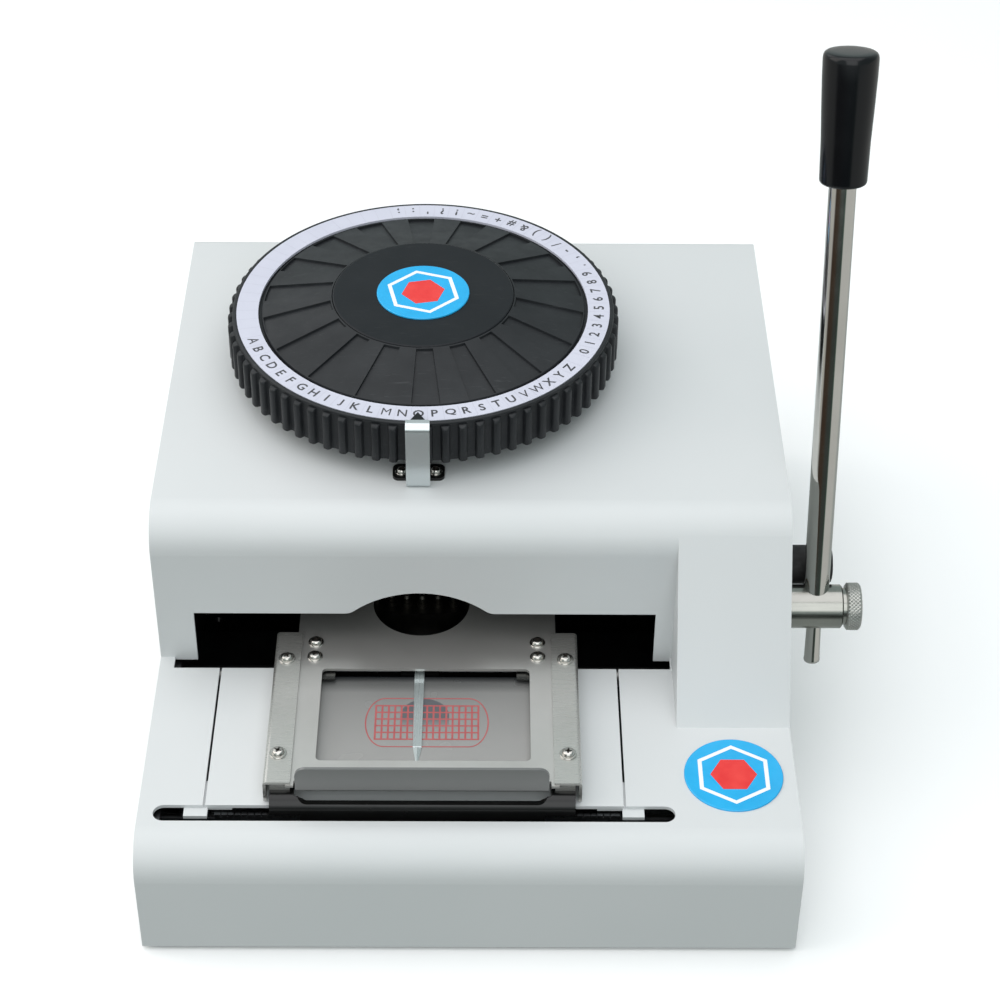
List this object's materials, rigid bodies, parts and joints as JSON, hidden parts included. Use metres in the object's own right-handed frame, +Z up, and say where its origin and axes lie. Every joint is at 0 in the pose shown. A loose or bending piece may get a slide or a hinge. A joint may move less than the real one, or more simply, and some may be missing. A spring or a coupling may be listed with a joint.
{
  "type": "plastic card embosser",
  "caption": "Desk press for plastic cards: character wheel on a stepped sheet-metal case, side lever working a cam press, and a two-axis card carriage with a window and needle.",
  "frame": {"origin": "middle of the bounding box in X and Y, at desk level under the feet", "axes": "+X to the operator's right (lever side), +Y from the front of the case to the back, +Z up"},
  "size_m": [0.2816, 0.308, 0.2915],
  "materials": {
    "case_paint": "satin light grey powder coat",
    "frame_steel": "zinc-plated sheet and machined plate",
    "press_steel": "machined",
    "type_steel": "machined, oiled",
    "black_steel": "satin black",
    "stainless": "brushed stainless",
    "chrome": "polished",
    "screws": "plated",
    "knob_plastic": "black moulded",
    "cover_plastic": "black, smooth",
    "ring_plastic": "white, printed",
    "badge": "domed label",
    "map_plastic": "frosted, printed",
    "rubber": "matte",
    "bronze": "turned"
  },
  "bodies": {
    "base": {"base_plate": "frame_steel", "base_screws": "screws", "rubber_feet": "rubber", "cheek_left": "frame_steel", "cheek_right": "frame_steel", "head_plate": "frame_steel", "anvil_beam": "frame_steel", "frame_screws": "screws", "slide_rods": "press_steel", "spacing_rack": "frame_steel", "panel_stand": "frame_steel", "deck_panel": "case_paint", "front_cover": "case_paint", "top_cover": "case_paint", "side_panel_left": "case_paint", "side_panel_right": "case_paint", "rear_panel": "case_paint", "shaft_bearings": "bronze", "needle_bracket": "black_steel", "needle": "stainless", "small_screws": "screws", "pointer_strip": "chrome", "pointer_tip": "cover_plastic", "pointer_base": "black_steel", "deck_badge": "badge", "lever_bumper": "rubber", "lever_bushes": "bronze", "cam_bearings": "bronze"},
    "wheel": {"wheel_shaft": "type_steel", "knob": "knob_plastic", "letter_ring": "ring_plastic", "centre_cover": "cover_plastic", "wheel_badge": "badge", "type_disc": "type_steel", "type_punches": "type_steel", "die_disc": "type_steel", "type_dies": "type_steel", "disc_spacers": "type_steel", "disc_nut": "type_steel"},
    "lever": {"lever_shaft": "chrome", "lever_rod": "chrome", "lever_grip": "cover_plastic", "thumb_nut": "chrome", "lever_crank": "press_steel"},
    "link": {"press_link": "press_steel"},
    "cam": {"cam_shaft": "press_steel", "press_cam": "press_steel"},
    "ram": {"press_ram": "press_steel", "ram_spring": "press_steel"},
    "x_carriage": {"carriage_bracket": "black_steel", "slide_blocks": "press_steel", "side_guides": "stainless", "guide_spacers": "stainless", "guide_screws": "screws"},
    "card_slide": {"window_plate": "stainless", "map_plate": "map_plastic", "clamp_jaws": "stainless", "clamp_screws": "screws", "slide_spacers": "stainless"}
  },
  "joints": [
    {"name": "wheel_spin", "type": "hinge", "parent": "base", "child": "wheel", "pos_m": [-0.03605, 0.0602, 0.15], "axis": [0, 0, 1], "continuous": true},
    {"name": "lever_pull", "type": "hinge", "parent": "base", "child": "lever", "pos_m": [0.12285, -0.034, 0.07], "axis": [1, 0, 0], "range_deg": [0, 60]},
    {"name": "link_swing", "type": "hinge", "parent": "lever", "child": "link", "pos_m": [0.09295, -0.02473, 0.05457], "axis": [1, 0, 0], "range_deg": [-60.5, 0.5]},
    {"name": "cam_turn", "type": "hinge", "parent": "base", "child": "cam", "pos_m": [-0.03605, -0.014, 0.106], "axis": [1, 0, 0], "range_deg": [-0.5, 60.5]},
    {"name": "ram_press", "type": "slide", "parent": "base", "child": "ram", "axis": [0, 0, -1], "range_m": [-0.00005, 0.00325], "stiffness_N_per_m": 800, "springref_m": -0.002, "deforming": ["ram_spring"]},
    {"name": "carriage_shift", "type": "slide", "parent": "base", "child": "x_carriage", "axis": [1, 0, 0], "range_m": [-0.031, 0.029]},
    {"name": "slide_draw", "type": "slide", "parent": "x_carriage", "child": "card_slide", "axis": [0, -1, 0], "range_m": [0, 0.05]}
  ],
  "couplings": [
    {"joint": "link_swing", "follows": "lever_pull", "ratio": -1},
    {"joint": "cam_turn", "follows": "lever_pull", "ratio": 1},
    {"joint": "ram_press", "follows": "lever_pull", "m_per_rad": 0.0030558}
  ]
}
